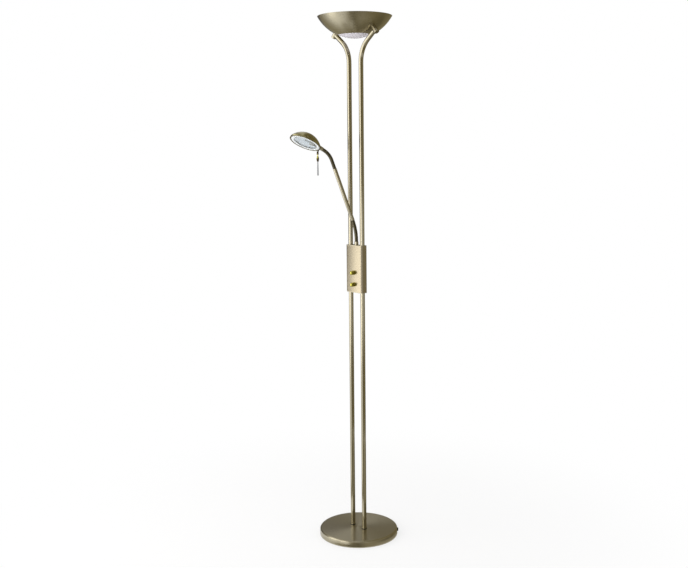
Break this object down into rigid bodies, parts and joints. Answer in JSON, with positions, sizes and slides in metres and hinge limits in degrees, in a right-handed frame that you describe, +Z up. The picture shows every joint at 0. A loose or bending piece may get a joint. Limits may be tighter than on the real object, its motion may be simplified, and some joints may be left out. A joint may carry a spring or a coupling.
{
  "type": "floor lamp",
  "caption": "Torchiere floor lamp: round weighted base, twin poles carrying an uplight bowl, control box with knobs, and a flexible reading arm with a shallow domed head.",
  "frame": {"origin": "centre of the base's underside, on the floor", "axes": "+Z up; the two poles stand on the X axis; the knobs face -Y; at rest the reading arm leans out 33 degrees from -Y towards -X"},
  "size_m": [0.2833, 0.3337, 1.8],
  "materials": {
    "champagne_steel": "satin champagne-bronze plating on steel",
    "bright_steel": "satin",
    "polished_brass": "polished",
    "cast_weight": "as cast",
    "felt": "matt black felt",
    "black_rubber": "matt",
    "zinc_fasteners": "zinc plated",
    "dark_plastic": "moulded",
    "pale_plastic": "moulded",
    "frosted_glass": "frosted",
    "clear_glass": "clear with a frosted border",
    "quartz": "clear quartz",
    "white_ceramic": "unglazed",
    "reflector_aluminium": "anodised bright",
    "dark_hose": "dark bronze, satin",
    "dark_bronze": "dark, satin",
    "clear_rod": "clear, slightly grey"
  },
  "bodies": {
    "stand": {"base_cover": "champagne_steel", "base_pad": "felt", "base_weight": "cast_weight", "boss_left": "champagne_steel", "boss_right": "champagne_steel", "boss_screws": "zinc_fasteners", "bowl": "champagne_steel", "box_bottom_cap": "champagne_steel", "box_sleeve": "champagne_steel", "box_top_cap": "champagne_steel", "cord_gland": "black_rubber", "dimmer_lower": "dark_plastic", "dimmer_nuts": "zinc_fasteners", "dimmer_upper": "dark_plastic", "glass_dish": "frosted_glass", "grub_screws": "zinc_fasteners", "lamp_bracket": "zinc_fasteners", "lamp_socket_left": "white_ceramic", "lamp_socket_right": "white_ceramic", "linear_lamp": "quartz", "lower_pole_left": "champagne_steel", "lower_pole_right": "champagne_steel", "pole_clamp": "zinc_fasteners", "pole_couplers": "zinc_fasteners", "pole_nipples": "zinc_fasteners", "pole_nuts": "zinc_fasteners", "pole_plugs": "zinc_fasteners", "terminal_block": "pale_plastic", "tie_rods": "zinc_fasteners", "upper_pole_left": "champagne_steel", "upper_pole_right": "champagne_steel"},
    "knob_lower": {"knob_lower": "polished_brass", "dimmer_shaft_lower": "zinc_fasteners"},
    "knob_upper": {"knob_upper": "polished_brass", "dimmer_shaft_upper": "zinc_fasteners"},
    "arm_base": {"arm_root_ferrule": "bright_steel", "arm_root_nut": "zinc_fasteners", "lower_gooseneck": "dark_hose"},
    "arm": {"arm_tube": "champagne_steel", "upper_gooseneck": "dark_hose"},
    "neck": {"neck_ferrule": "bright_steel", "neck_nut": "zinc_fasteners"},
    "head": {"head_dome": "champagne_steel", "head_ring": "champagne_steel", "head_glass": "clear_glass", "head_reflector": "reflector_aluminium", "head_lamp_holder": "white_ceramic", "head_lamp_bracket": "zinc_fasteners", "head_lamp": "quartz", "neck_saddle": "champagne_steel", "neck_wedge": "zinc_fasteners", "handle_lug": "champagne_steel"},
    "handle_link": {"handle_link": "dark_bronze", "handle_pins": "zinc_fasteners"},
    "handle": {"handle_cap": "polished_brass", "handle_rod": "clear_rod"}
  },
  "joints": [
    {"name": "knob_lower_turn", "type": "hinge", "parent": "stand", "child": "knob_lower", "pos_m": [0, -0.014, 0.9], "axis": [0, -1, 0], "range_deg": [-280, 0]},
    {"name": "knob_upper_turn", "type": "hinge", "parent": "stand", "child": "knob_upper", "pos_m": [0, -0.014, 0.941], "axis": [0, -1, 0], "range_deg": [-280, 0]},
    {"name": "arm_turn", "type": "hinge", "parent": "stand", "child": "arm_base", "pos_m": [0, 0, 1.04], "axis": [0, 0, 1], "range_deg": [-17, 83]},
    {"name": "arm_bend", "type": "hinge", "parent": "arm_base", "child": "arm", "pos_m": [0, 0, 1.08583], "axis": [0.8387, -0.5446, 0], "range_deg": [-10, 45], "deforming": ["lower_gooseneck"]},
    {"name": "neck_bend", "type": "hinge", "parent": "arm", "child": "neck", "pos_m": [-0.04884, -0.0752, 1.34625], "axis": [0.8387, -0.5446, 0], "range_deg": [-20, 40], "deforming": ["upper_gooseneck"]},
    {"name": "head_turn", "type": "hinge", "parent": "neck", "child": "head", "pos_m": [-0.0645, -0.09933, 1.36565], "axis": [-0.4515, -0.6953, 0.5592], "range_deg": [-40, 40]},
    {"name": "link_swing", "type": "hinge", "parent": "head", "child": "handle_link", "pos_m": [-0.0701, -0.10981, 1.35359], "axis": [-0.9996, -0.0288, 0], "range_deg": [-60, 60]},
    {"name": "handle_swing", "type": "hinge", "parent": "handle_link", "child": "handle", "pos_m": [-0.0701, -0.10981, 1.34659], "axis": [0.0288, -0.9996, 0], "range_deg": [-60, 60]}
  ]
}
